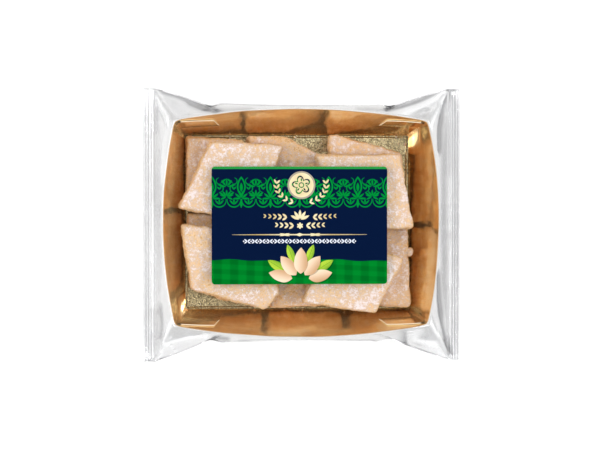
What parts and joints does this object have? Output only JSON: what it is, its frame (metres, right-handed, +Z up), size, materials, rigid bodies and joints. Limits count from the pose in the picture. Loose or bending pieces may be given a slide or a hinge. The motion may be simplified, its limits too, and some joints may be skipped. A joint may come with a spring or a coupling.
{
  "type": "sealed pack of almond biscuits",
  "caption": "Clear sealed flow bag of sugared almond biscuits in a gold card tray, with crimped end seals and a rectangular printed label on top; lies flat.",
  "frame": {"origin": "on the surface the pack lies on, under the middle of its bounding box", "axes": "+X along the pack from one end seal to the other, +Y along the end seals towards the top edge of the label, +Z up through the label"},
  "size_m": [0.18, 0.1546, 0.0342],
  "materials": {
    "clear_film": "clear glossy packaging film",
    "label_paper": "coated paper with a flat print and gold foil",
    "gold_card": "card laminated with bright gold foil",
    "biscuit": "baked almond paste dusted with icing sugar"
  },
  "bodies": {
    "root": {"bag": "clear_film", "label": "label_paper"}
  },
  "joints": []
}
